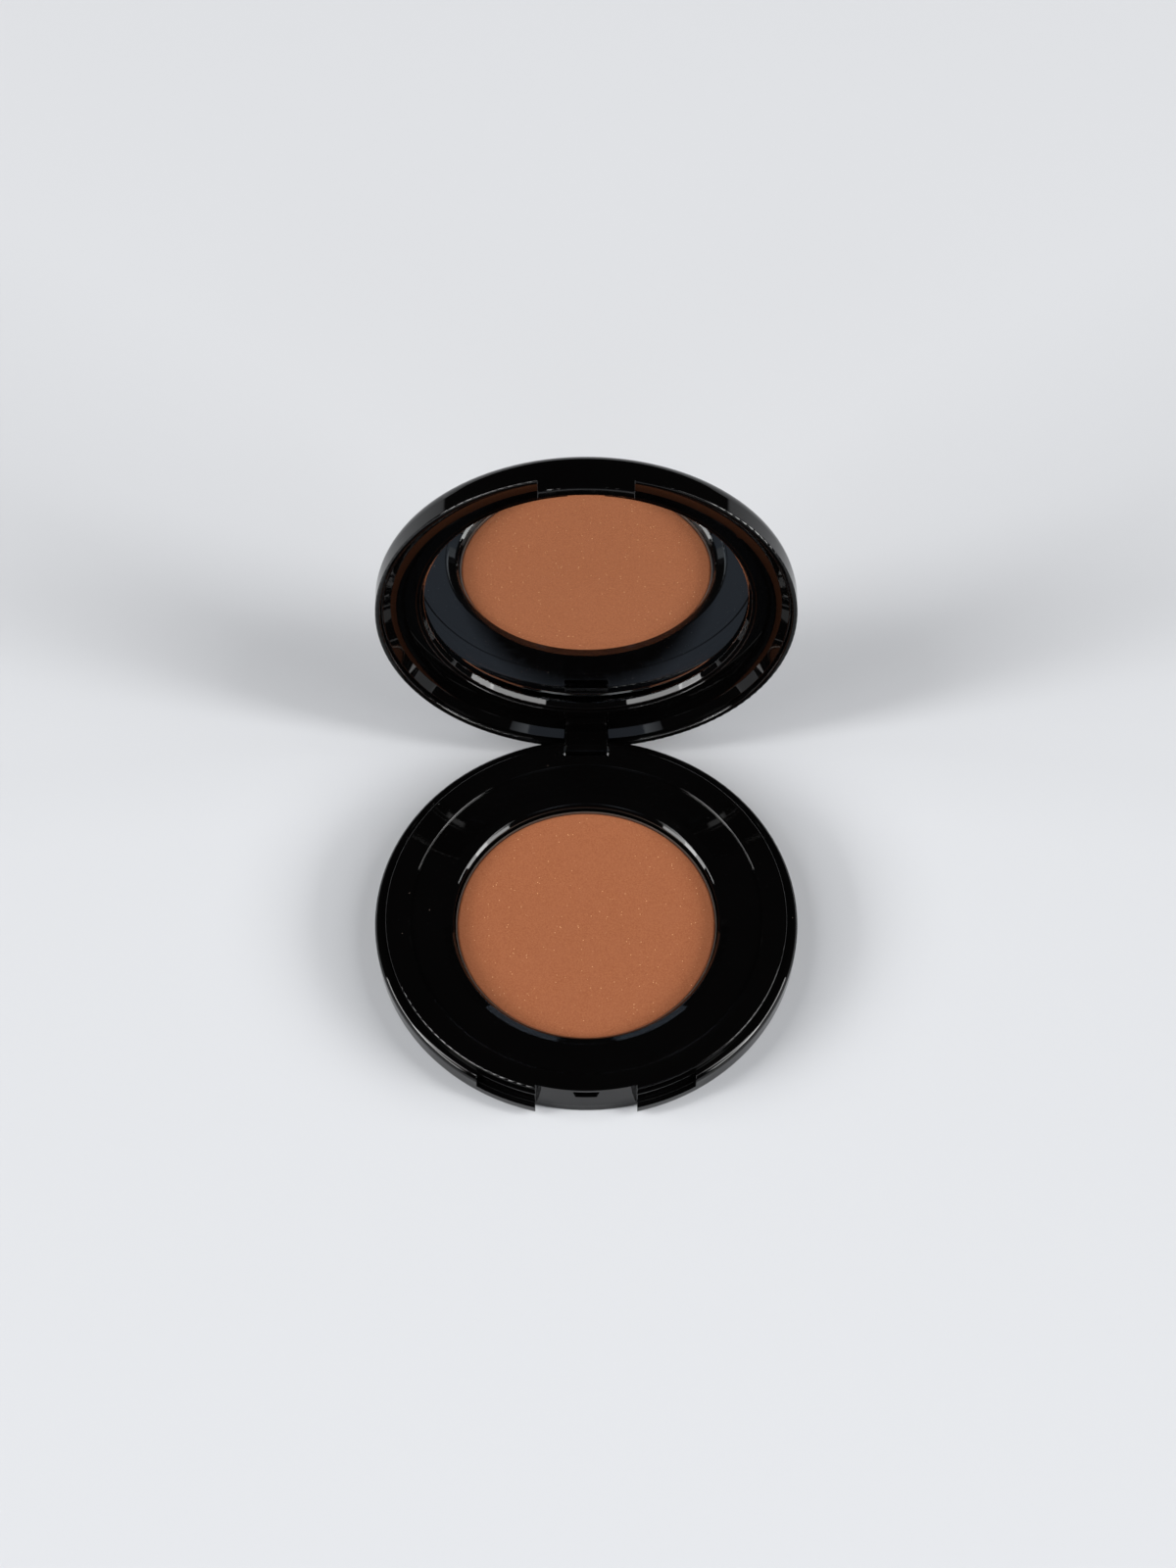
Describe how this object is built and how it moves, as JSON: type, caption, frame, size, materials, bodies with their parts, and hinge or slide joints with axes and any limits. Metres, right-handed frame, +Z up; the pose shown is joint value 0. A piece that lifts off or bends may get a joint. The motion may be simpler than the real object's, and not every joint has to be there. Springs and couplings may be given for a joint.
{
  "type": "powder compact",
  "caption": "Round pressed-powder compact with a hinged lid, mirror inside the lid and a powder pan in the base.",
  "frame": {"origin": "centre of the base's underside, which is the face it rests on", "axes": "+Z up out of the base, -Y towards the latch in front, +Y towards the hinge, +X to the right"},
  "size_m": [0.0598, 0.0723, 0.0618],
  "materials": {
    "case_black": "polished moulded black",
    "lid_black": "polished moulded black",
    "tray_black": "polished moulded black",
    "bezel_black": "polished moulded black",
    "pan_metal": "plain pressed sheet",
    "powder": "pressed bronzing powder with fine shimmer",
    "adhesive": "soft glue",
    "pin_steel": "drawn wire",
    "mirror": "silvered glass"
  },
  "bodies": {
    "base": {"base_shell": "case_black", "pan_tray": "tray_black", "pan": "pan_metal", "powder_cake": "powder", "pan_adhesive": "adhesive", "hinge_pin": "pin_steel"},
    "lid": {"lid_shell": "lid_black", "mirror_bezel": "bezel_black", "mirror_glass": "mirror", "mirror_adhesive": "adhesive"}
  },
  "joints": [
    {"name": "lid_hinge", "type": "hinge", "parent": "base", "child": "lid", "pos_m": [0, 0.02865, 0.0039], "axis": [-1, 0, 0], "range_deg": [-98.5, 9.5]}
  ]
}
